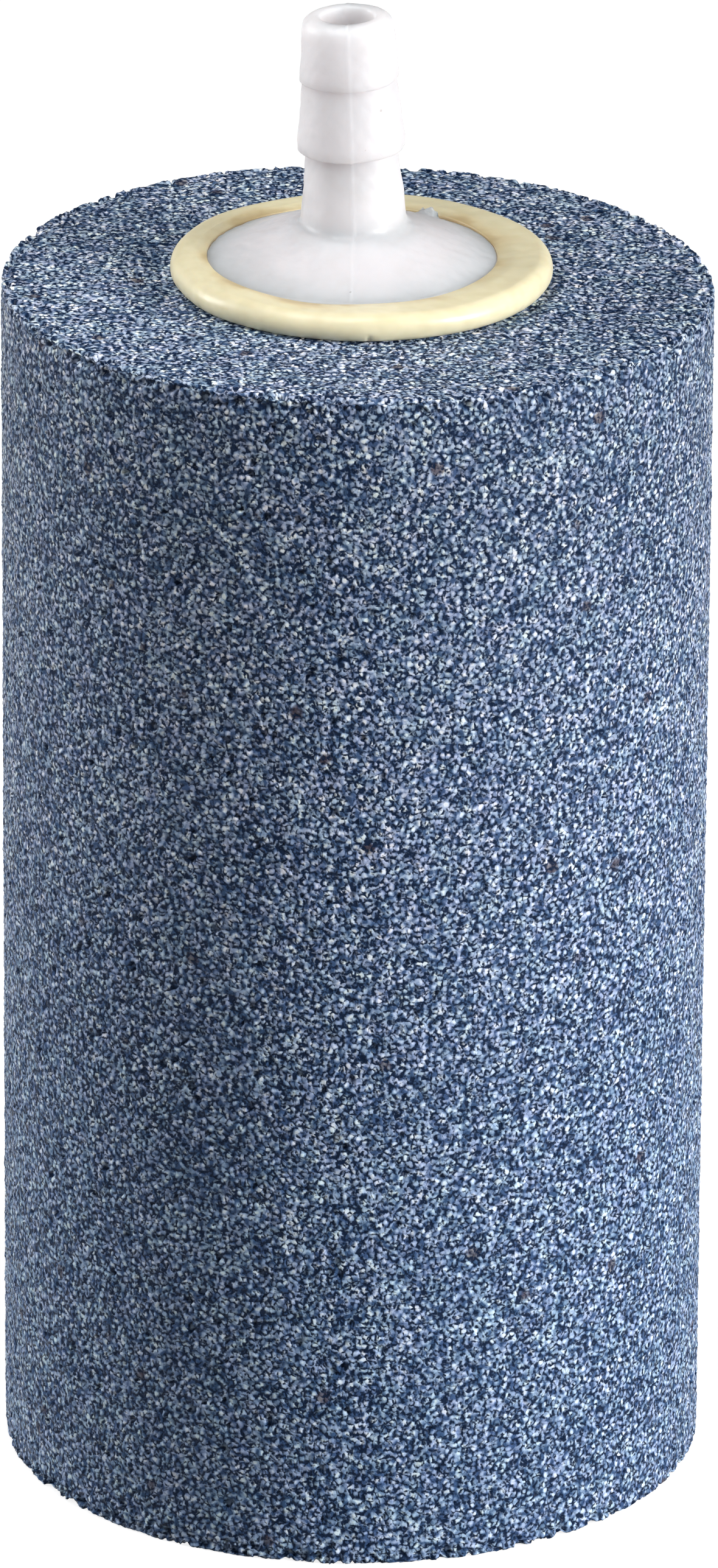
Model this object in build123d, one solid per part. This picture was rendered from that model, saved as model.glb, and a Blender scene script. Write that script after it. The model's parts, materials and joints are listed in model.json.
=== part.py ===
from build123d import *
import os

# Cylindrical air stone for a pond or an aquarium: a porous stone with a blind air chamber, a barbed hose nozzle
# bonded into its mouth, and a rubber washer squeezed under the nozzle's flange.
#
# Millimetres. +Z is up, along the stone's axis. The origin is the centre of the stone's flat bottom.
# The nozzle and the washer are drawn with their heights counted from the stone's top face, then lifted onto it.

# ---- Driving dimensions ------------------------------------------------------------------------------------

# Stone: a pressed and fired cylinder of bonded grains. Its core pin leaves the blind air chamber.
STONE_D = 50.0
STONE_H = 87.5
STONE_EDGE_R = 0.4  # the rims are worn round at the size of a grain
CHAMBER_D = 16.0
CHAMBER_FLOOR = 15.5  # stone left below the chamber
CHAMBER_END_R = 3.0

# Washer: soft rubber with a round outer edge. Its top dips towards the flange that is pressed into it.
WASHER_R = 13.4
WASHER_EDGE_R = 1.0
WASHER_DIP_R = 9.4
WASHER_DIP_H = 1.6
WASHER_EYE_R = 8.4

# Nozzle: one moulding for a hose of 6.35 mm (1/4 in) bore, with a domed flange, a neck and two barbs.
FLANGE_R = 10.15
FLANGE_H = 1.3  # the flange's underside, sunk in the washer
FLANGE_RIM_H = 1.85
FLANGE_EDGE_R = 0.2
NECK_BASE_R = 3.72
NECK_BASE_H = 4.45
NECK_FILLET_R = 0.7
NECK_TOP_R = 3.22
BARB_ROOT_R = 3.28  # the stem's radius just above the lower barb's cone
LOWER_BARB_H = 9.95
LOWER_BARB_R = 3.78
LOWER_BARB_LAND = 0.6
UPPER_BARB_H = 15.05
UPPER_BARB_R = 3.5
UPPER_BARB_LAND = 0.4
BARB_EDGE_R = 0.12
TIP_H = 19.5
TIP_R = 3.12
TIP_ROUND_R = 0.8
STEM_X = 0.2  # the stem's foot is this far off the flange's centre
STEM_LEAN = 2.0  # degrees off square towards -X, where the moulding set crooked
GATE_ANGLE = 57.0  # degrees from +X round the flange's rim to the stub of its gate
GATE_SIZE = (0.9, 1.5, 1.0)

# Nozzle, inside: the air bore runs down the stem and opens into the hollow of a ribbed spigot.
AIR_BORE_R = 1.9
AIR_MOUTH_R = 0.25
HOLLOW_R = 4.9
HOLLOW_TOP_H = 1.4
HOLLOW_CONE_H = 4.0
SPIGOT_R = 6.8
SPIGOT_DEPTH = 16.0
RIB_R = 7.3
RIB_WIDTH = 1.6
RIB_PITCH = 4.0
RIB_COUNT = 3
FIRST_RIB_DEPTH = 3.0

# Adhesive: cured epoxy around the spigot, from just above its end up to the flange.
BOND_DEPTH = 15.0

# The washer and the nozzle are set by hand, each a little off the stone's axis.
NOZZLE_X = -0.42
WASHER_X = 0.25

# ---- Shapes ------------------------------------------------------------------------------------------------

FROM_BOTTOM = (Align.CENTER, Align.CENTER, Align.MIN)


def post(radius, low, high):
    """A cylinder on the Z axis between two heights."""
    return Pos(0, 0, low) * Cylinder(radius, high - low, align=FROM_BOTTOM)


def outline(*points):
    """A face in the XZ plane between points of (radius, height)."""
    return make_face(Plane.XZ * Polyline(*points, close=True))


def rounded(face, radius, *corners):
    """The face with its corners at these (radius, height) points rounded."""
    spots = [Vector(r, 0, h) for r, h in corners]
    near = [min(face.vertices(), key=lambda v, spot=spot: (Vector(v) - spot).length) for spot in spots]
    return fillet(near, radius)


def stone_body():
    stone = post(STONE_D / 2, 0, STONE_H)
    stone = fillet(stone.edges().filter_by(GeomType.CIRCLE), STONE_EDGE_R)
    core_pin = post(CHAMBER_D / 2, CHAMBER_FLOOR, STONE_H)
    core_pin = fillet(core_pin.edges().group_by(Axis.Z)[0], CHAMBER_END_R)
    return stone - core_pin


def flange():
    """The flange's dome, running up to a point inside the neck."""
    slope = (NECK_BASE_H - FLANGE_RIM_H) / (FLANGE_R - NECK_BASE_R)
    face = outline(
        (0, FLANGE_H),
        (FLANGE_R, FLANGE_H),
        (FLANGE_R, FLANGE_RIM_H),
        (0, FLANGE_RIM_H + slope * FLANGE_R),
    )
    face = rounded(face, FLANGE_EDGE_R, (FLANGE_R, FLANGE_RIM_H))
    return revolve(face, Axis.Z)


def stem():
    """The neck, the barbs and the tip, leaning about the middle of the neck's foot."""
    lower_root = (NECK_TOP_R, LOWER_BARB_H)
    lower_lip = (LOWER_BARB_R, LOWER_BARB_H)
    lower_cone = (LOWER_BARB_R, LOWER_BARB_H + LOWER_BARB_LAND)
    upper_root = (BARB_ROOT_R, UPPER_BARB_H)
    upper_lip = (UPPER_BARB_R, UPPER_BARB_H)
    upper_cone = (UPPER_BARB_R, UPPER_BARB_H + UPPER_BARB_LAND)
    tip = (TIP_R, TIP_H)
    face = outline(
        (0, FLANGE_RIM_H),
        (NECK_BASE_R, FLANGE_RIM_H),
        (NECK_BASE_R, NECK_BASE_H),
        lower_root,
        lower_lip,
        lower_cone,
        upper_root,
        upper_lip,
        upper_cone,
        tip,
        (0, TIP_H),
    )
    face = rounded(face, BARB_EDGE_R, lower_lip, upper_lip, upper_cone)
    face = rounded(face, TIP_ROUND_R, tip)
    return revolve(face, Axis.Z)


def leaned(shape):
    """A shape drawn on the Z axis, moved to the stem's foot and leaning about it."""
    return Pos(STEM_X, 0, FLANGE_RIM_H) * Rot(Y=-STEM_LEAN) * Pos(0, 0, -FLANGE_RIM_H) * shape


def gate_stub():
    at_rim = Rot(Z=GATE_ANGLE) * Pos(FLANGE_R - GATE_SIZE[0] / 2, 0, FLANGE_RIM_H)
    return at_rim * fillet(Box(*GATE_SIZE).edges(), 0.2)


def spigot():
    shape = post(SPIGOT_R, -SPIGOT_DEPTH, FLANGE_H)
    for i in range(RIB_COUNT):
        rib_top = -FIRST_RIB_DEPTH - i * RIB_PITCH
        shape += post(RIB_R, rib_top - RIB_WIDTH, rib_top)
    return shape


def air_bore():
    face = outline(
        (0, HOLLOW_TOP_H),
        (AIR_BORE_R, HOLLOW_TOP_H),
        (AIR_BORE_R, TIP_H - AIR_MOUTH_R),
        (AIR_BORE_R + AIR_MOUTH_R, TIP_H),
        (0, TIP_H),
    )
    return leaned(revolve(face, Axis.Z))


def hollow():
    face = outline(
        (0, -SPIGOT_DEPTH),
        (HOLLOW_R, -SPIGOT_DEPTH),
        (HOLLOW_R, HOLLOW_TOP_H),
        (AIR_BORE_R, HOLLOW_TOP_H + HOLLOW_CONE_H),
        (0, HOLLOW_TOP_H + HOLLOW_CONE_H),
    )
    return revolve(face, Axis.Z)


def nozzle():
    foot, post_above = flange(), leaned(stem())
    outside = foot + post_above
    joint = [edge for edge in outside.edges() if NECK_BASE_H - 1 < edge.center().Z < NECK_BASE_H + 1]
    outside = fillet(joint, NECK_FILLET_R)
    return Pos(NOZZLE_X, 0, STONE_H) * (outside + gate_stub() + spigot() - hollow() - air_bore())


def washer(nozzle_solid):
    """The washer, with the seat that the nozzle's flange presses into it."""
    edge_centre = WASHER_R - WASHER_EDGE_R
    crest = (edge_centre, 2 * WASHER_EDGE_R)
    dip = (WASHER_DIP_R, WASHER_DIP_H)
    face = make_face(
        Plane.XZ
        * Curve(
            [
                ThreePointArc((edge_centre, 0), (WASHER_R, WASHER_EDGE_R), crest),
                TangentArc(crest, dip, tangent=(-1, 0)),
                Polyline(dip, (WASHER_EYE_R, WASHER_DIP_H), (WASHER_EYE_R, 0), (edge_centre, 0)),
            ]
        )
    )
    return Pos(WASHER_X, 0, STONE_H) * revolve(face, Axis.Z) - nozzle_solid


def adhesive(nozzle_solid):
    """Epoxy that fills the mouth of the chamber around the spigot, and the washer's eye up to the flange."""
    plug = post(CHAMBER_D / 2, STONE_H - BOND_DEPTH, STONE_H + FLANGE_H)
    core = Pos(NOZZLE_X, 0, 0) * post(HOLLOW_R, STONE_H - BOND_DEPTH, STONE_H + FLANGE_H)
    return plug - core - nozzle_solid


# ---- Files -------------------------------------------------------------------------------------------------


def main():
    nozzle_solid = nozzle()
    parts = {
        "stone_body": stone_body(),
        "hose_nozzle": nozzle_solid,
        "seal_washer": washer(nozzle_solid),
        "adhesive_sleeve": adhesive(nozzle_solid),
    }
    os.makedirs("parts", exist_ok=True)
    for name, shape in parts.items():
        export_step(shape, f"parts/{name}.step")
        print(name, round(shape.volume, 1), "mm3")


main()
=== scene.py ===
import json
import math

import bpy
import numpy as np
from mathutils import Matrix, Vector

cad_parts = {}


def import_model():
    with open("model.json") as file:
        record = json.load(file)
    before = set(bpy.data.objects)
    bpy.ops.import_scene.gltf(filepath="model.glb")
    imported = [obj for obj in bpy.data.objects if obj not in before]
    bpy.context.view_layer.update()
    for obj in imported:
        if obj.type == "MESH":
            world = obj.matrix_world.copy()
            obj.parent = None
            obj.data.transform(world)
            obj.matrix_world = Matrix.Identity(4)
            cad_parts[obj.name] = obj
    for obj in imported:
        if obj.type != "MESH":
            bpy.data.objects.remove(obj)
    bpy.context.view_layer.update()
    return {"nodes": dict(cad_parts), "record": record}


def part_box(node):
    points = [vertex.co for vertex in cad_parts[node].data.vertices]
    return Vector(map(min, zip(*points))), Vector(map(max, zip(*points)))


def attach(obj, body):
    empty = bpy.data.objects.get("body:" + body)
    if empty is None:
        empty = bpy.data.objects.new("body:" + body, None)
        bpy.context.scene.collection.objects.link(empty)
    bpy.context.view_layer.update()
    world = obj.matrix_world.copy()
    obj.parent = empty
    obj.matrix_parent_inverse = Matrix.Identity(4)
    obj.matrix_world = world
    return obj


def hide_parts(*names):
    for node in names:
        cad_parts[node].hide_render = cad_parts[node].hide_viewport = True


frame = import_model()

# Looks of a cylindrical air stone: a body of bonded grains, a moulded nozzle and a rubber washer.
# Lengths are in millimetres and become metres where a mesh, a light or the camera is made.
# Heights on the nozzle and the washer are counted from the stone's top face.

MM = 0.001

# ---- From the frame ------------------------------------------------------------------------------

stone_low, stone_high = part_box("stone_body")
washer_low, washer_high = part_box("seal_washer")
nozzle_low, nozzle_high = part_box("hose_nozzle")
mounts = {mount["name"]: mount for mount in frame["record"]["mounts"]}

STONE_R = (stone_high.y - stone_low.y) / 2 / MM
STONE_H = stone_high.z / MM
WASHER_R = (washer_high.y - washer_low.y) / 2 / MM
WASHER_X = (washer_high.x + washer_low.x) / 2 / MM
WASHER_H = (washer_high.z - washer_low.z) / MM
FLANGE_R = (nozzle_high.y - nozzle_low.y) / 2 / MM
NOZZLE_X = (nozzle_high.x + nozzle_low.x) / 2 / MM
TIP_H = nozzle_high.z / MM - STONE_H
SPIGOT_DEPTH = STONE_H - nozzle_low.z / MM
LOWER_BARB_R = mounts["hose_barb"]["dims"]["r_mm"]
BORE_R = mounts["air_bore"]["dims"]["r_mm"]
STEM_LEAN = math.asin(-mounts["hose_barb"]["axis"][0])

# ---- The nozzle's and the washer's own sizes -----------------------------------------------------

FLANGE_H = 1.3
STEM_X = 0.2
FLANGE_RIM_H = 1.85
FLANGE_EDGE_R = 0.2
NECK_BASE_R = 3.72
NECK_BASE_H = 4.45
NECK_FILLET_R = 0.7
NECK_TOP_R = 3.22
BARB_ROOT_R = 3.28
LOWER_BARB_H = 9.95
LOWER_BARB_LAND = 0.6
UPPER_BARB_H = 15.05
UPPER_BARB_R = 3.5
UPPER_BARB_LAND = 0.4
BARB_EDGE_R = 0.15
TIP_R = 3.12
TIP_ROUND_R = 0.8
MOUTH_R = 0.25
HOLLOW_R = 4.9
HOLLOW_TOP_H = 1.4
HOLLOW_CONE_H = 4.0
SPIGOT_R = 6.8
RIB_R = 7.3
RIB_WIDTH = 1.6
RIB_PITCH = 4.0
RIB_COUNT = 3
FIRST_RIB_DEPTH = 3.0
GATE_ANGLE = 57.0  # degrees from +X round the flange's rim to the torn stub of its gate
GATE_HALF_WIDTH = 0.62
GATE_HEIGHT = 0.48
GATE_REACH = 0.22  # how far the stub stands out past the rim
SEAM_WIDTH = 0.13
SEAM_HEIGHTS = {-90: 0.06, 90: 0.05}  # of the parting line, by its direction in degrees from +X
LIP_TILT = 0.09  # how far the barbs' lips run up and down round the stem

WASHER_EDGE_R = WASHER_H / 2
WASHER_EYE_R = 8.4
WASHER_DIP_R = 9.4
WASHER_DIP_H = 1.6
SEAT_R = FLANGE_R + 0.03  # the seat that the flange presses in the washer
SEAT_LIP = 0.1
NICKS = 9  # small cuts round the washer's lower edge

# ---- The stone's sizes ---------------------------------------------------------------------------

STONE_RIM_R = 0.25
CHAMBER_R = 8.0
CHAMBER_FLOOR = 15.5
CHAMBER_END_R = 3.0
HIDDEN_R = 12.4  # the stone's top is covered by the washer inside this radius
GRAIN = 0.42  # pitch of the bonded grains
GRAIN_GAP = 0.14  # how far a grain's edge slopes down into the gap, as a share of the pitch
GRAIN_WOBBLE = 0.3  # how far the grains' outlines are pushed about
WOBBLE_PITCH = 0.45
STONE_STEP = 0.16  # spacing of the stone's vertices, which shows single grains
RELIEF = 0.055  # how far a grain stands out or in
PIT_DEPTH = 0.22
PIT_SHARE = 0.015  # share of the grains that are missing
RIM_PIT_SHARE = 0.3  # the same share at the rims, where more have been knocked out
CHIP_DEPTH = 0.35
RIM_WEAR = (1.3, 0.4)  # distances from a rim where its wear begins and where it is full
MEAN_SINK = 0.7  # grains lie from this share of RELIEF in to what is left of 1 out
GAP_SINK = 1.1  # and the gaps between them lie this share in
SWELL = 0.02  # slow rise and fall of the whole surface
TOP_SLOPE = 0.011  # the top rises this much per mm towards -X
SLOPE_DEPTH = 12.0  # the slope dies away this far below the top
MAX_HALVINGS = 6  # of the vertices in a ring, towards the middle of the stone's ends

# ---- Vertices round the smaller lathes -----------------------------------------------------------

NOZZLE_SIDES = 360
WASHER_SIDES = 512

# ---- Outlines and lathes -------------------------------------------------------------------------


def unit(vector):
    return vector / np.linalg.norm(vector)


def corner_arc(before, corner, after, radius, step):
    """Points round a corner, from where the arc leaves one run to where it joins the next."""
    u, v = unit(before - corner), unit(after - corner)
    half = math.acos(np.clip(u @ v, -1, 1)) / 2
    centre = corner + unit(u + v) * radius / math.sin(half)
    start = corner + u * radius / math.tan(half) - centre
    end = corner + v * radius / math.tan(half) - centre
    first = math.atan2(start[1], start[0])
    sweep = (math.atan2(end[1], end[0]) - first + math.pi) % (2 * math.pi) - math.pi
    n = max(int(math.ceil(abs(sweep) * radius / step)), 3)
    turns = [first + sweep * i / n for i in range(n + 1)]
    return [centre + radius * np.array([math.cos(t), math.sin(t)]) for t in turns]


def outline(corners, closed=False):
    """Points along an outline.

    Each corner is (radius, height, rounding, spacing of the points on the run after it).
    """
    spots = [np.array(c[:2], float) for c in corners]
    path = []
    for i, (_, _, rounding, step) in enumerate(corners):
        inner = closed or 0 < i < len(corners) - 1
        if rounding and inner:
            after = spots[(i + 1) % len(spots)]
            arc = corner_arc(spots[i - 1], spots[i], after, rounding, min(step, rounding / 2))
        else:
            arc = [spots[i]]
        if path:
            path += between(path[-1], arc[0], corners[i - 1][3])
        path += arc
    if closed:
        path += between(path[-1], path[0], corners[-1][3])
    return np.array(path)


def between(start, end, step):
    """Evenly spaced points strictly between two points, about step apart."""
    n = max(int(round(np.linalg.norm(end - start) / step)), 1)
    return [start + (end - start) * i / n for i in range(1, n)]


def ring_faces(a, b, na, nb):
    """Faces between two rings of na and nb vertices, whose first vertices are a and b.

    The rings have as many vertices as each other, or one has twice as many, or one is a point.
    """
    i = np.arange(min(na, nb) if min(na, nb) > 1 else max(na, nb))
    if na == nb:
        k = (i + 1) % na
        return [np.stack([a + i, a + k, b + k, b + i], 1)]
    if na == 1:
        return [np.stack([a + 0 * i, b + (i + 1) % nb, b + i], 1)]
    if nb == 1:
        return [np.stack([a + i, a + (i + 1) % na, b + 0 * i], 1)]
    if na == 2 * nb:
        k = (i + 1) % nb
        middle = a + 2 * i + 1
        return [
            np.stack([a + 2 * i, middle, b + i], 1),
            np.stack([middle, b + k, b + i], 1),
            np.stack([middle, a + (2 * i + 2) % na, b + k], 1),
        ]
    k = (i + 1) % na
    middle = b + 2 * i + 1
    return [
        np.stack([a + i, middle, b + 2 * i], 1),
        np.stack([a + i, a + k, middle], 1),
        np.stack([a + k, b + (2 * i + 2) % nb, middle], 1),
    ]


class Lathe:
    """An outline turned about the Z axis. It runs up the outside, so that the normals point out."""

    def __init__(self, path, counts, closed=False):
        path = np.array(path, float)
        counts = np.array(counts)
        starts = np.concatenate([[0], np.cumsum(counts)])
        self.ring = np.repeat(np.arange(len(path)), counts)
        self.turn = np.concatenate([np.arange(n) / n for n in counts]) * 2 * math.pi
        self.path = path
        self.radius, self.height = path[self.ring].T
        cos, sin = np.cos(self.turn), np.sin(self.turn)
        self.points = np.stack([self.radius * cos, self.radius * sin, self.height], 1)
        ahead = np.roll(path, -1, 0) if closed else np.concatenate([path[1:], path[-1:]])
        behind = np.roll(path, 1, 0) if closed else np.concatenate([path[:1], path[:-1]])
        along = ahead - behind
        along /= np.linalg.norm(along, axis=1, keepdims=True) + 1e-12
        out, up = along[self.ring, 1], -along[self.ring, 0]
        self.normals = np.stack([out * cos, out * sin, up], 1)
        self.faces, self.face_rings = [], []
        last = len(path) if closed else len(path) - 1
        for j in range(last):
            k = (j + 1) % len(path)
            for faces in ring_faces(starts[j], starts[k], counts[j], counts[k]):
                self.faces.append(faces)
                self.face_rings.append(np.full(len(faces), j))

    def length_along(self):
        """How far along the outline each ring is, from 0 to 1."""
        steps = np.linalg.norm(np.diff(self.path, axis=0), axis=1)
        return np.concatenate([[0], np.cumsum(steps)]) / steps.sum()

    def build(self, name, points, rest, uv_of):
        """The smooth-shaded mesh object, with UVs from uv_of(faces' vertices, faces' rings)."""
        sizes = np.concatenate([np.full(len(f), f.shape[1]) for f in self.faces])
        corners = np.concatenate([f.ravel() for f in self.faces])
        pairs = zip(self.faces, self.face_rings)
        uvs = [uv_of(f, np.repeat(r[:, None], f.shape[1], 1)).reshape(-1) for f, r in pairs]
        mesh = bpy.data.meshes.new(name)
        mesh.vertices.add(len(points))
        mesh.vertices.foreach_set("co", (points * MM).astype(np.float32).ravel())
        mesh.loops.add(len(corners))
        mesh.loops.foreach_set("vertex_index", corners.astype(np.int32))
        mesh.polygons.add(len(sizes))
        mesh.polygons.foreach_set("loop_start", (np.cumsum(sizes) - sizes).astype(np.int32))
        layer = mesh.uv_layers.new(name="OFBake")
        layer.uv.foreach_set("vector", np.concatenate(uvs).astype(np.float32))
        mesh.update(calc_edges=True)
        mesh.polygons.foreach_set("use_smooth", np.ones(len(sizes), bool))
        attribute = mesh.attributes.new("rest_mm", "FLOAT_VECTOR", "POINT")
        attribute.data.foreach_set("vector", rest.astype(np.float32).ravel())
        made = bpy.data.objects.new(name, mesh)
        bpy.context.scene.collection.objects.link(made)
        return made


def wrapped(turns):
    """Turns from 0 to 1 at each face's corners, where a face across the seam ends at 1, not 0."""
    far = turns.max(1, keepdims=True) - turns > 0.5
    return turns + far


def plain_uv(lathe):
    """UVs for a whole lathe: once round is one unit, and so is the length of the outline."""
    along = lathe.length_along()

    def uv_of(vertices, rings):
        u = wrapped(lathe.turn[vertices] / (2 * math.pi))
        v = along[lathe.ring[vertices]]
        v = np.where((rings == len(along) - 1) & (v < 0.5), 1.0, v)
        return np.stack([u, v], 2)

    return uv_of


def smooth(value, low, high):
    t = np.clip((value - low) / (high - low), 0, 1)
    return t * t * (3 - 2 * t)


def bell(distance, width, power=2):
    """1 at no distance, falling to almost 0 at twice the width."""
    return np.exp(-((distance / width) ** power))


def ripple(points, wavelength, seed, waves=16):
    """Gentle noise of about unit size, as a sum of waves of one length in random directions."""
    rng = np.random.default_rng(seed)
    total = np.zeros(len(points))
    for _ in range(waves):
        direction = unit(rng.normal(size=3)) * 2 * math.pi / (wavelength * rng.uniform(0.8, 1.25))
        total += np.sin(points @ direction + rng.uniform(0, 2 * math.pi))
    return total * math.sqrt(2 / waves)


# ---- Node graphs ---------------------------------------------------------------------------------


class Graph:
    """Adds nodes to a tree. An input given as a socket is linked; any other value is set on it."""

    def __init__(self, tree):
        self.tree = tree

    def put(self, node, key, value):
        if isinstance(value, bpy.types.NodeSocket):
            self.tree.links.new(value, node.inputs[key])
        else:
            node.inputs[key].default_value = value

    def add(self, kind, inputs=None, **settings):
        node = self.tree.nodes.new(kind)
        for name, value in settings.items():
            setattr(node, name, value)
        for key, value in (inputs or {}).items():
            self.put(node, key, value)
        return node

    def math(self, operation, a, b=0.0):
        return self.add("ShaderNodeMath", {0: a, 1: b}, operation=operation).outputs[0]

    def sum(self, values):
        total = values[0]
        for value in values[1:]:
            total = self.math("ADD", total, value)
        return total

    def vector(self, operation, a, b, c=(0.0, 0.0, 0.0)):
        node = self.add("ShaderNodeVectorMath", {0: a, 1: b, 2: c}, operation=operation)
        return node.outputs["Value" if operation in ("DOT_PRODUCT", "LENGTH") else "Vector"]

    def rest(self):
        """The place of a point on the undisturbed surface, in mm."""
        return self.add("ShaderNodeAttribute", attribute_name="rest_mm").outputs["Vector"]

    def noise(self, place, wavelength, detail=2.0):
        settings = {"Vector": place, "Scale": 1 / wavelength, "Detail": detail}
        return self.add("ShaderNodeTexNoise", settings).outputs["Fac"]

    def cells(self, place, pitch, feature="F1"):
        settings = {"Vector": place, "Scale": 1 / pitch}
        return self.add("ShaderNodeTexVoronoi", settings, feature=feature).outputs

    def grains(self, place):
        """The pattern of the stone's mesh and colour: uneven cells, and how far inside one it is."""
        settings = {"Vector": place, "Scale": 1 / WOBBLE_PITCH, "Detail": 1.0}
        wobble = self.add("ShaderNodeTexNoise", settings).outputs["Color"]
        moved = self.vector("MULTIPLY_ADD", wobble, (GRAIN_WOBBLE,) * 3, place)
        return self.cells(moved, GRAIN), self.cells(moved, GRAIN, "DISTANCE_TO_EDGE")["Distance"]

    def channels(self, colour):
        return self.add("ShaderNodeSeparateColor", {0: colour}).outputs

    def band(self, value, low, high, out_low=0.0, out_high=1.0):
        limits = {"From Min": low, "From Max": high, "To Min": out_low, "To Max": out_high}
        inputs = {"Value": value, **limits}
        return self.add("ShaderNodeMapRange", inputs, interpolation_type="SMOOTHSTEP").outputs[0]

    def ramp(self, factor, stops):
        node = self.add("ShaderNodeValToRGB", {"Fac": factor})
        elements = node.color_ramp.elements
        while len(elements) < len(stops):
            elements.new(0.5)
        for element, (position, colour) in zip(elements, stops):
            element.position = position
            element.color = (*colour, 1.0)
        return node.outputs["Color"]

    def mix(self, factor, a, b, blend_type="MIX"):
        node = self.add("ShaderNodeMix", data_type="RGBA", blend_type=blend_type)
        for index, value in ((0, factor), (6, a), (7, b)):
            self.put(node, index, (*value, 1.0) if isinstance(value, tuple) else value)
        return node.outputs[2]

    def unevenness(self, place, coarse, fine):
        """Heights for a bump, from coarse noise and a third as much fine noise."""
        fine_part = self.math("MULTIPLY", self.noise(place, fine, 0.0), 0.3)
        return self.math("ADD", self.noise(place, coarse), fine_part)

    def bump(self, height, strength, distance):
        inputs = {"Strength": strength, "Distance": distance * MM, "Height": height}
        return self.add("ShaderNodeBump", inputs).outputs[0]


def material(name):
    """A new material, the graph of its nodes, and its Principled shader."""
    made = bpy.data.materials.new(name)
    made.use_nodes = True
    made.node_tree.nodes.clear()
    graph = Graph(made.node_tree)
    shader = graph.add("ShaderNodeBsdfPrincipled")
    graph.add("ShaderNodeOutputMaterial", {"Surface": shader.outputs[0]})
    return made, graph, shader


# ---- The stone -----------------------------------------------------------------------------------


def sample_grain(obj):
    """Each vertex's grain, from the pattern that also colours it.

    Returns the grain's three random numbers, its centre, and how far inside it the vertex lies.
    """
    group = bpy.data.node_groups.new("grain_sampler", "GeometryNodeTree")
    group.interface.new_socket("Geometry", in_out="INPUT", socket_type="NodeSocketGeometry")
    group.interface.new_socket("Geometry", in_out="OUTPUT", socket_type="NodeSocketGeometry")
    graph = Graph(group)
    kind = "GeometryNodeInputNamedAttribute"
    rest = graph.add(kind, {"Name": "rest_mm"}, data_type="FLOAT_VECTOR")
    cells, inside = graph.grains(rest.outputs[0])
    last = graph.add("NodeGroupInput").outputs[0]
    fields = {
        "cell_number": cells["Color"],
        "cell_centre": cells["Position"],
        "cell_inside": inside,
    }
    for name, socket in fields.items():
        inputs = {"Geometry": last, "Name": name, "Value": socket}
        kind = "GeometryNodeStoreNamedAttribute"
        last = graph.add(kind, inputs, data_type="FLOAT_VECTOR", domain="POINT").outputs[0]
    graph.add("NodeGroupOutput", {0: last})
    modifier = obj.modifiers.new("sampler", "NODES")
    modifier.node_group = group
    depsgraph = bpy.context.evaluated_depsgraph_get()
    sampled = bpy.data.meshes.new_from_object(obj.evaluated_get(depsgraph), depsgraph=depsgraph)
    number, centre, inside = (stored_vectors(sampled, name) for name in fields)
    obj.modifiers.remove(modifier)
    bpy.data.node_groups.remove(group)
    bpy.data.meshes.remove(sampled)
    return number, centre, inside[:, 0]


def stored_vectors(mesh, name):
    """A vector attribute of a mesh's vertices, as an array."""
    out = np.empty(len(mesh.vertices) * 3, np.float32)
    mesh.attributes[name].data.foreach_get("vector", out)
    return out.reshape(-1, 3).astype(float)


def stone_outline():
    """From the middle of the stone's bottom, up its side and down its chamber to its floor."""
    return outline(
        [
            (0, 0, 0, STONE_STEP),
            (STONE_R, 0, STONE_RIM_R, STONE_STEP),
            (STONE_R, STONE_H, STONE_RIM_R, STONE_STEP),
            (HIDDEN_R, STONE_H, 0, 0.6),
            (CHAMBER_R, STONE_H, 0, 3.0),
            (CHAMBER_R, CHAMBER_FLOOR, CHAMBER_END_R, 0.8),
            (0, CHAMBER_FLOOR, 0, 1.0),
        ]
    )


def stone_counts(path):
    """Vertices in each ring: halved each time the radius halves, to stay about as far apart."""
    multiple = 2**MAX_HALVINGS
    full = multiple * int(round(2 * math.pi * STONE_R / STONE_STEP / multiple))
    counts = []
    for radius, _ in path:
        halvings = int(math.log2(STONE_R / radius) + 1e-6) if radius > 1e-6 else 0
        counts.append(full >> min(halvings, MAX_HALVINGS) if radius > 1e-6 else 1)
    return counts


def stone_uv(lathe, chamber_ring, top_ring, side_ring):
    """UVs: the side as a strip, above it the bottom and the top as discs, and the chamber."""
    scale = 1 / (2 * math.pi * STONE_R)
    disc = 0.17  # from a disc's middle to the edge of its space: its radius and a margin
    shelf = STONE_H * scale + 0.01

    def uv_of(vertices, rings):
        turns = wrapped(lathe.turn[vertices] / (2 * math.pi))
        height = lathe.points[vertices, 2]
        flat = lathe.points[vertices][..., :2] * scale
        strip = np.stack([turns, height * scale], 2)
        bottom = flat + (disc, shelf + disc)
        top = flat + (0.5, shelf + disc)
        chamber = np.stack([0.68 + turns * 0.3, shelf + 0.3 * height / STONE_H], 2)
        zone = np.repeat(rings[..., None], 2, 2)
        outer = np.where(zone < side_ring, bottom, strip)
        inner = np.where(zone < chamber_ring, top, chamber)
        return np.where(zone < top_ring, outer, inner)

    return uv_of


def stone_relief(lathe, number, centre, inside):
    """How far each vertex moves out: grains at random heights and tilts, gaps and worn rims."""
    rest = lathe.points
    gap = 1 - smooth(inside, 0.0, GRAIN_GAP)
    tilt = ((rest - centre) / GRAIN * (number * 2 - 1)).sum(1)
    relief = RELIEF * (((number[:, 0] - MEAN_SINK) + tilt) * (1 - gap) - GAP_SINK * gap)
    relief += SWELL * ripple(rest, 2.2, seed=3)
    side = np.clip(STONE_R - lathe.radius, 0, None)
    end = np.clip(np.minimum(rest[:, 2], STONE_H - rest[:, 2]), 0, None)
    rim = smooth(side + end, *RIM_WEAR)
    relief -= PIT_DEPTH * (number[:, 2] > 1 - PIT_SHARE - RIM_PIT_SHARE * rim)
    chips = smooth(ripple(rest, 1.6, seed=11) + 0.6 * ripple(rest, 6.0, seed=12), 0.5, 2.6)
    return relief - rim * CHIP_DEPTH * chips


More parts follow.
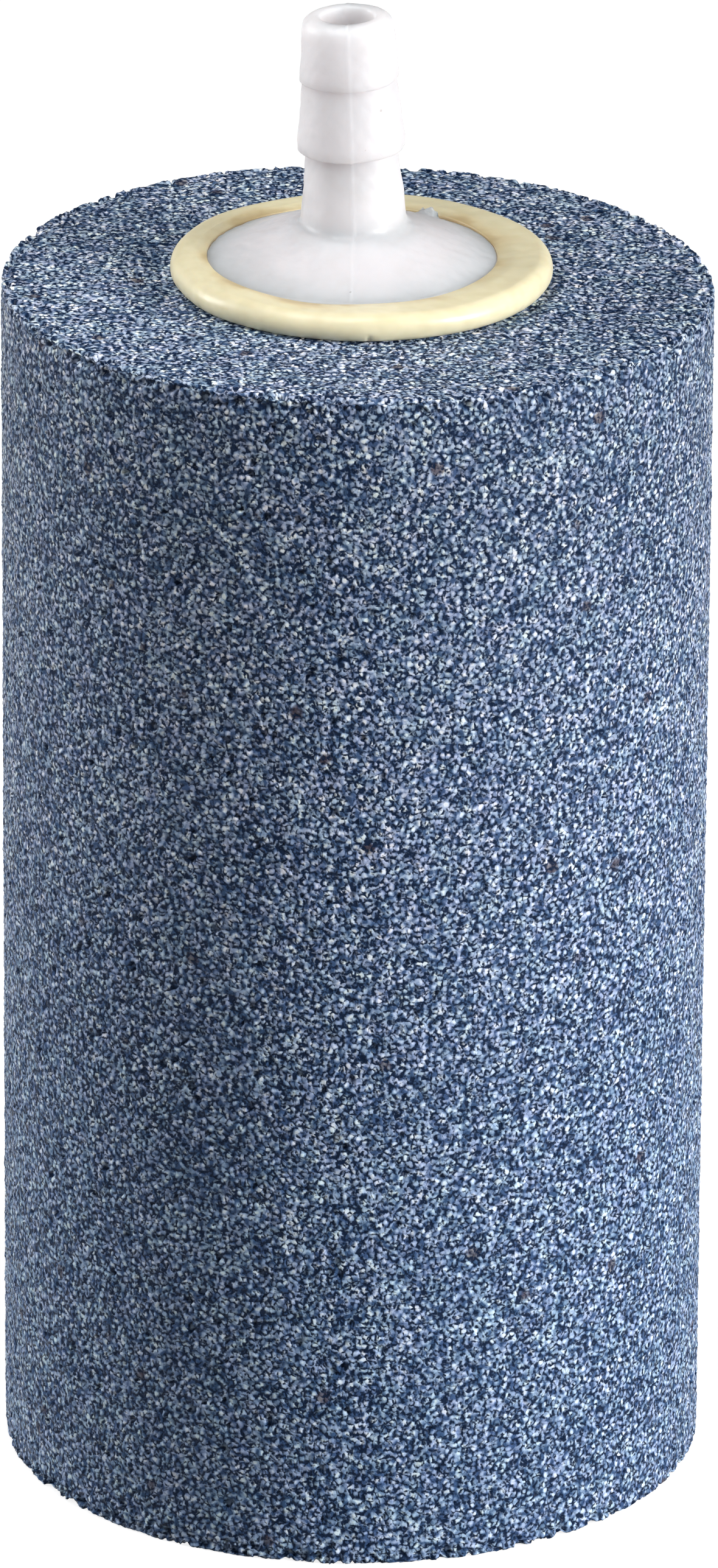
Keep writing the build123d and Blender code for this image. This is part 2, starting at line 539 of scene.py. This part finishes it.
def stone_body():
    path = stone_outline()
    lathe = Lathe(path, stone_counts(path))
    side_ring = int(np.argmax(path[:, 1] > STONE_RIM_R / 2))
    top_ring = int(np.argmax(path[:, 1] > STONE_H - STONE_RIM_R / 2))
    chamber_ring = int(np.argmax((path[:, 0] < CHAMBER_R + 0.01) & (path[:, 1] > STONE_H / 2)))
    uv_of = stone_uv(lathe, chamber_ring, top_ring, side_ring)
    stone = lathe.build("bonded_stone", lathe.points, lathe.points, uv_of)
    number, centre, inside = sample_grain(stone)
    bared = smooth(lathe.radius, HIDDEN_R + 0.1, HIDDEN_R + 0.8)
    exposed = np.where(lathe.ring < top_ring, 1.0, bared)
    exposed[lathe.ring >= chamber_ring] = 0
    move = stone_relief(lathe, number, centre, inside) * exposed
    points = lathe.points + lathe.normals * move[:, None]
    sloped = smooth(points[:, 2], STONE_H - SLOPE_DEPTH, STONE_H) * (lathe.ring < chamber_ring)
    sloped *= smooth(lathe.radius, WASHER_R + 0.5, WASHER_R + 4)
    points[:, 2] -= TOP_SLOPE * points[:, 0] * sloped
    points[:, 2] = np.maximum(points[:, 2], 0)
    stone.data.vertices.foreach_set("co", (points * MM).astype(np.float32).ravel())
    stone.data.update()
    stone.data.materials.append(stone_material())
    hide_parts("stone_body")
    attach(stone, "root")


def grain_colour(graph, place, cells):
    """Blue-grey grains, each with a painted highlight in its middle, and painted light by height up
    the stone.
    """
    number = graph.channels(cells["Color"])
    shades = [
        graph.math("MULTIPLY", number[1], 0.4),
        # Painted highlight: each grain is lighter in its middle, with painted shade towards its
        # edges, as if lit on a rounded top.
        graph.band(cells["Distance"], 0.75, 0.1, -0.05, 0.4),
        graph.band(graph.noise(place, 0.4, 0.0), 0.3, 0.7, -0.36, 0.36),
        graph.band(graph.noise(place, 5.0), 0.3, 0.7, 0.02, 0.12),
    ]
    tone = graph.ramp(
        graph.sum(shades),
        [
            (0.0, (0.055, 0.105, 0.22)),
            (0.35, (0.27, 0.36, 0.54)),
            (0.7, (0.49, 0.59, 0.78)),
            (0.9, (0.73, 0.83, 0.96)),
            (1.0, (0.90, 0.95, 1.0)),
        ],
    )
    tint = graph.ramp(
        graph.noise(place, 1.4),
        [(0.35, (0.95, 1.0, 0.98)), (0.65, (1.04, 0.97, 1.03))],
    )
    # Painted light by height: bluer low down for bluish light from below, painted shade near the top
    # of the side, and a lighter, warmer top face.
    painted_light_by_height = graph.ramp(
        graph.math("DIVIDE", graph.channels(place)[2], STONE_H),
        [
            (0.25, (0.90, 1.0, 1.05)),
            (0.65, (1.0, 1.02, 1.02)),
            (0.9, (0.84, 0.85, 0.82)),
            (0.994, (0.84, 0.85, 0.82)),
            (0.998, (1.05, 1.03, 0.95)),
        ],
    )
    tone = graph.mix(1.0, tone, tint, "MULTIPLY")
    return graph.mix(1.0, tone, painted_light_by_height, "MULTIPLY")


def stone_material():
    """Mineral grains with painted shade in the pores between them, and a few rusty spots."""
    made, graph, shader = material("bonded_grain")
    place = graph.rest()
    cells, inside = graph.grains(place)
    tone = grain_colour(graph, place, cells)
    fine = graph.noise(place, 0.3, 1.0)
    ragged = graph.band(fine, 0.3, 0.7, -0.02, 0.02)
    spot = graph.math("ADD", graph.cells(place, 5.2)["Distance"], ragged)
    tone = graph.mix(graph.band(spot, 0.13, 0.07, 0.0, 0.75), tone, (0.08, 0.045, 0.035))
    ragged = graph.band(fine, 0.3, 0.7, -0.18, 0.18)
    solid = graph.band(graph.math("ADD", inside, ragged), -0.08, 0.26)
    # The gaps between the grains go near-black blue: painted shade in the pores.
    graph.put(shader, "Base Color", graph.mix(solid, (0.004, 0.015, 0.047), tone))
    shine = graph.channels(cells["Color"])[0]
    graph.put(shader, "Roughness", graph.band(shine, 0.0, 1.0, 0.3, 0.8))
    graph.put(shader, "Specular IOR Level", 0.12)
    local = graph.vector("SUBTRACT", place, cells["Position"])
    facing = graph.vector("MULTIPLY_ADD", cells["Color"], (2.0, 2.0, 2.0), (-1.0, -1.0, -1.0))
    tilt = graph.vector("DOT_PRODUCT", local, facing)
    shares = ((tilt, 0.6), (solid, 0.25), (fine, 0.3))
    heights = [graph.math("MULTIPLY", part, share) for part, share in shares]
    graph.put(shader, "Normal", graph.bump(graph.sum(heights), 0.7, 0.2))
    return made


# ---- The nozzle ----------------------------------------------------------------------------------


def nozzle_outline():
    """The nozzle's closed outline: spigot, ribs, flange, dome, neck, barbs, tip and the bore."""
    corners = [(SPIGOT_R, -SPIGOT_DEPTH, 0, 1.0)]
    for i in reversed(range(RIB_COUNT)):
        top = -FIRST_RIB_DEPTH - i * RIB_PITCH
        low = top - RIB_WIDTH
        corners += [(SPIGOT_R, low, 0, 0.5), (RIB_R, low, 0, 0.8)]
        corners += [(RIB_R, top, 0, 0.5), (SPIGOT_R, top, 0, 1.0)]
    corners += [
        (SPIGOT_R, FLANGE_H, 0, 0.8),
        (FLANGE_R, FLANGE_H, 0, 0.1),
        (FLANGE_R, FLANGE_RIM_H, FLANGE_EDGE_R, 0.14),
        (NECK_BASE_R, NECK_BASE_H, NECK_FILLET_R, 0.14),
        (NECK_TOP_R, LOWER_BARB_H, 0.08, 0.1),
        (LOWER_BARB_R, LOWER_BARB_H, BARB_EDGE_R, 0.12),
        (LOWER_BARB_R, LOWER_BARB_H + LOWER_BARB_LAND, 0, 0.14),
        (BARB_ROOT_R, UPPER_BARB_H, 0.06, 0.08),
        (UPPER_BARB_R, UPPER_BARB_H, 0.09, 0.1),
        (UPPER_BARB_R, UPPER_BARB_H + UPPER_BARB_LAND, 0.15, 0.14),
        (TIP_R, TIP_H, TIP_ROUND_R, 0.1),
        (BORE_R, TIP_H, MOUTH_R, 0.3),
        (BORE_R, HOLLOW_TOP_H + HOLLOW_CONE_H, 0, 0.3),
        (HOLLOW_R, HOLLOW_TOP_H, 0, 1.0),
        (HOLLOW_R, -SPIGOT_DEPTH, 0, 0.6),
    ]
    return outline(corners, closed=True)


def arc_from(lathe, degrees):
    """Distance round the axis from each vertex to a direction, in mm, signed."""
    away = (lathe.turn - math.radians(degrees) + math.pi) % (2 * math.pi) - math.pi
    return away * lathe.radius


def nozzle_shape(lathe):
    """The moulding's flaws on its outside: seams, soft sinks, uneven barbs and a torn gate stub."""
    rest = lathe.points
    outside = (lathe.height > FLANGE_RIM_H - 0.1) & (lathe.radius > BORE_R + MOUTH_R)
    seams = 0
    for turn, high in SEAM_HEIGHTS.items():
        seams = seams + high * bell(arc_from(lathe, turn), SEAM_WIDTH)
    sinks = 0.02 * ripple(rest, 3.5, seed=21) + 0.008 * ripple(rest, 0.9, seed=22)
    points = rest + lathe.normals * ((seams + sinks) * outside)[:, None]
    lips = bell(lathe.height - LOWER_BARB_H, 0.8) + bell(lathe.height - UPPER_BARB_H, 0.8)
    points[:, 2] += LIP_TILT * np.sin(lathe.turn + 0.8) * lips * (lathe.radius > NECK_TOP_R - 0.3)
    stub = bell(arc_from(lathe, GATE_ANGLE), GATE_HALF_WIDTH, 4) * outside
    torn = 1 + 0.2 * ripple(rest, 0.45, seed=23)
    stub *= smooth(lathe.radius, FLANGE_R - 1.3, FLANGE_R - 0.3) * torn
    points[:, 2] += GATE_HEIGHT * stub
    points[:, :2] *= 1 + (GATE_REACH * stub / FLANGE_R)[:, None]
    return points


def leaned(points, radius):
    """Turns the stem about its foot, and the dome less and less away from it."""
    share = 1 - smooth(radius, NECK_BASE_R, NECK_BASE_R + NECK_FILLET_R)
    angle = -STEM_LEAN * share
    up = points[:, 2] - FLANGE_RIM_H
    x = points[:, 0] * np.cos(angle) + up * np.sin(angle) + STEM_X * share
    z = -points[:, 0] * np.sin(angle) + up * np.cos(angle)
    return np.stack([x, points[:, 1], z + FLANGE_RIM_H], 1)


def hose_nozzle():
    path = nozzle_outline()
    lathe = Lathe(path, [NOZZLE_SIDES] * len(path), closed=True)
    points = leaned(nozzle_shape(lathe), lathe.radius) + (NOZZLE_X, 0, STONE_H)
    nozzle = lathe.build("moulded_nozzle", points, lathe.points, plain_uv(lathe))
    nozzle.data.materials.append(nozzle_material())
    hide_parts("hose_nozzle")
    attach(nozzle, "root")


def nozzle_material():
    """Natural white polypropylene: milky, satin, faintly tinted, with a few dark specks."""
    made, graph, shader = material("natural_polypropylene")
    place = graph.rest()
    colour = graph.ramp(
        graph.noise(place, 3.0, 3.0),
        [(0.35, (0.72, 0.675, 0.685)), (0.5, (0.75, 0.705, 0.725)), (0.65, (0.77, 0.715, 0.735))],
    )
    specks = graph.cells(place, 1.1)
    rare = graph.math("GREATER_THAN", graph.channels(specks["Color"])[0], 0.9)
    dot = graph.math("MULTIPLY", rare, graph.band(specks["Distance"], 0.11, 0.07))
    colour = graph.mix(graph.math("MULTIPLY", dot, 0.6), colour, (0.38, 0.34, 0.33))
    graph.put(shader, "Base Color", colour)
    graph.put(shader, "Roughness", graph.band(graph.noise(place, 1.2), 0.3, 0.7, 0.32, 0.5))
    graph.put(shader, "Subsurface Weight", 1.0)
    graph.put(shader, "Subsurface Radius", (1.0, 0.85, 0.8))
    graph.put(shader, "Subsurface Scale", 5.5 * MM)
    graph.put(shader, "Normal", graph.bump(graph.unevenness(place, 0.7, 0.3), 0.5, 0.04))
    return made


# ---- The washer and the adhesive -----------------------------------------------------------------


def washer_outline():
    """The washer's closed outline: underside, round edge, crest, dip and the flange's seat."""
    edge = WASHER_R - WASHER_EDGE_R
    crest = edge - 1.2
    dip = WASHER_H + (WASHER_DIP_H - WASHER_H) * (crest - SEAT_R) / (crest - WASHER_DIP_R)
    return outline(
        [
            (WASHER_EYE_R, 0, 0, 0.5),
            (WASHER_R, 0, WASHER_EDGE_R * 0.98, 0.09),
            (WASHER_R, WASHER_H, WASHER_EDGE_R * 0.98, 0.09),
            (crest, WASHER_H, 1.8, 0.1),
            (SEAT_R, dip + SEAT_LIP, 0.1, 0.15),
            (SEAT_R, FLANGE_H, 0, 0.3),
            (WASHER_EYE_R, FLANGE_H, 0, 0.4),
        ],
        closed=True,
    )


def washer_shape(lathe):
    """Soft rubber: a seat off centre under the nozzle, uneven edges, and nicks by the stone."""
    points = lathe.points.copy()
    top = smooth(lathe.height, WASHER_EDGE_R, WASHER_DIP_H)
    seat = smooth(lathe.radius, WASHER_R - 0.8, SEAT_R + 0.1)
    seat *= smooth(lathe.radius, WASHER_EYE_R, SEAT_R - 0.1) * (lathe.height > WASHER_EDGE_R)
    points[:, 0] += (NOZZLE_X - WASHER_X) * seat
    points[:, 2] += (0.035 * ripple(points, 9.0, seed=31) + 0.07 * (1 + np.sin(lathe.turn))) * top
    outer = smooth(lathe.radius, WASHER_R - 1.2, WASHER_R)
    points[:, :2] *= 1 + (0.05 * ripple(points, 7.0, seed=32) * outer / WASHER_R)[:, None]
    low = outer * smooth(lathe.height, 0.9, 0.3)
    rng = np.random.default_rng(33)
    for degrees in rng.uniform(0, 360, NICKS):
        nick = bell(arc_from(lathe, degrees), rng.uniform(0.12, 0.3))
        points[:, :2] *= 1 - (rng.uniform(0.08, 0.2) * nick * low / WASHER_R)[:, None]
    return points


def seal_washer():
    path = washer_outline()
    lathe = Lathe(path, [WASHER_SIDES] * len(path), closed=True)
    points = washer_shape(lathe) + (WASHER_X, 0, STONE_H)
    washer = lathe.build("soft_washer", points, lathe.points, plain_uv(lathe))
    washer.data.materials.append(washer_material())
    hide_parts("seal_washer")
    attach(washer, "root")


def washer_material():
    """Cream rubber, shiny from the mould, darker and tan towards the flange, partly its colour and
    partly painted shade from the flange, with a patchy edge.
    """
    made, graph, shader = material("cream_rubber")
    place = graph.rest()
    flat = graph.vector("MULTIPLY", place, (1.0, 1.0, 0.0))
    radius = graph.vector("LENGTH", flat, (0.0, 0.0, 0.0))
    patchy_band_edge = graph.band(graph.noise(place, 5.0, 3.0), 0.35, 0.65, -0.8, 0.8)
    # Darker and tan towards the flange: partly tan colour, partly painted shade where the flange
    # shades the dip.
    colour = graph.ramp(
        graph.band(graph.math("ADD", radius, patchy_band_edge), 9.7, 11.9),
        [(0.0, (0.60, 0.47, 0.26)), (0.5, (0.78, 0.67, 0.42)), (1.0, (0.82, 0.75, 0.51))],
    )
    mottle = graph.ramp(
        graph.noise(place, 1.1, 1.0),
        [(0.3, (0.94, 0.93, 0.90)), (0.6, (1.0, 1.0, 1.0))],
    )
    colour = graph.mix(1.0, colour, mottle, "MULTIPLY")
    graph.put(shader, "Base Color", colour)
    graph.put(shader, "Roughness", graph.band(graph.noise(place, 1.5), 0.3, 0.7, 0.29, 0.42))
    graph.put(shader, "Subsurface Weight", 0.25)
    graph.put(shader, "Subsurface Radius", (1.0, 0.7, 0.35))
    graph.put(shader, "Subsurface Scale", 0.8 * MM)
    graph.put(shader, "Normal", graph.bump(graph.unevenness(place, 1.0, 0.5), 0.3, 0.05))
    return made


def adhesive_material():
    """Cured epoxy: amber, cloudy and glossy."""
    made, graph, shader = material("cured_epoxy")
    place = graph.add("ShaderNodeTexCoord").outputs["Object"]
    colour = graph.ramp(
        graph.noise(place, 2.0 * MM),
        [(0.35, (0.42, 0.32, 0.16)), (0.65, (0.58, 0.47, 0.27))],
    )
    graph.put(shader, "Base Color", colour)
    graph.put(shader, "Roughness", graph.band(graph.noise(place, 0.8 * MM), 0.3, 0.7, 0.12, 0.3))
    graph.put(shader, "Subsurface Weight", 0.4)
    graph.put(shader, "Subsurface Scale", 1.0 * MM)
    graph.put(shader, "Normal", graph.bump(graph.noise(place, 1.2 * MM), 0.5, 0.05))
    return made


def adhesive_sleeve():
    slots = frame["nodes"]["adhesive_sleeve"].material_slots
    for slot in slots:
        slot.material = adhesive_material()


# ---- Studio --------------------------------------------------------------------------------------

CAMERA_PLACE = (0.0, -35.64 * STONE_R, 4.612 * STONE_H)
CAMERA_AIM = (0.3, 0.0, 0.566 * STONE_H)
CAMERA_ROLL = 0.36  # degrees
LENS = 309.5
SENSOR_H = 36.0
FLOOR_SIZE = 8000.0


def place_at(obj, place, aim, roll=0.0):
    """Puts a camera or light at a place, looking at a point."""
    look = (Vector(aim) - Vector(place)).to_track_quat("-Z", "Y").to_matrix().to_4x4()
    turn = Matrix.Rotation(math.radians(roll), 4, "Z")
    obj.matrix_world = Matrix.Translation(Vector(place) * MM) @ look @ turn
    bpy.context.scene.collection.objects.link(obj)


def camera():
    data = bpy.data.cameras.new("camera")
    data.sensor_fit = "VERTICAL"
    data.sensor_height = SENSOR_H
    data.lens = LENS
    data.clip_start = 0.05
    obj = bpy.data.objects.new("camera", data)
    place_at(obj, CAMERA_PLACE, CAMERA_AIM, CAMERA_ROLL)
    bpy.context.scene.camera = obj


def softbox(name, azimuth, elevation, power, distance=900.0, size=400.0, aim=(0, 0, STONE_H / 2)):
    """A square light that faces a point of the stone. Azimuth 0 is the camera's side, 90 is +X."""
    data = bpy.data.lights.new(name, "AREA")
    data.shape = "SQUARE"
    data.size = size * MM
    data.energy = power
    a, e = math.radians(azimuth), math.radians(elevation)
    away = Vector((math.sin(a) * math.cos(e), -math.cos(a) * math.cos(e), math.sin(e)))
    lamp = bpy.data.objects.new(name, data)
    lamp.visible_camera = False
    place_at(lamp, Vector(aim) + away * distance, aim)


def floor():
    """A pale floor that glows a little, to stay light without lighting the stone's shaded side."""
    half = FLOOR_SIZE / 2 * MM
    corners = [(-half, -half, 0), (half, -half, 0), (half, half, 0), (-half, half, 0)]
    mesh = bpy.data.meshes.new("floor")
    mesh.from_pydata(corners, [], [(0, 1, 2, 3)])
    made, graph, shader = material("pale_floor")
    graph.put(shader, "Base Color", (0.4, 0.4, 0.4, 1.0))
    graph.put(shader, "Roughness", 1.0)
    graph.put(shader, "Emission Color", (1.0, 1.0, 1.0, 1.0))
    graph.put(shader, "Emission Strength", 0.82)
    mesh.materials.append(made)
    plane = bpy.data.objects.new("floor", mesh)
    plane.visible_diffuse = False
    bpy.context.scene.collection.objects.link(plane)


def world():
    made = bpy.data.worlds.new("studio")
    made.use_nodes = True
    background = made.node_tree.nodes["Background"]
    background.inputs["Color"].default_value = (1.0, 1.0, 1.0, 1.0)
    background.inputs["Strength"].default_value = 0.08
    bpy.context.scene.world = made
    bpy.context.scene.view_settings.view_transform = "Standard"


# ---- Scene ---------------------------------------------------------------------------------------

stone_body()
hose_nozzle()
seal_washer()
adhesive_sleeve()
world()
floor()
camera()
softbox("key", azimuth=62, elevation=17, power=10.6)
softbox("rim", azimuth=-100, elevation=17, power=4.8)
above = (0, 0, STONE_H)
softbox("top", azimuth=-37, elevation=63, power=0.09, distance=115.0, size=80.0, aim=above)
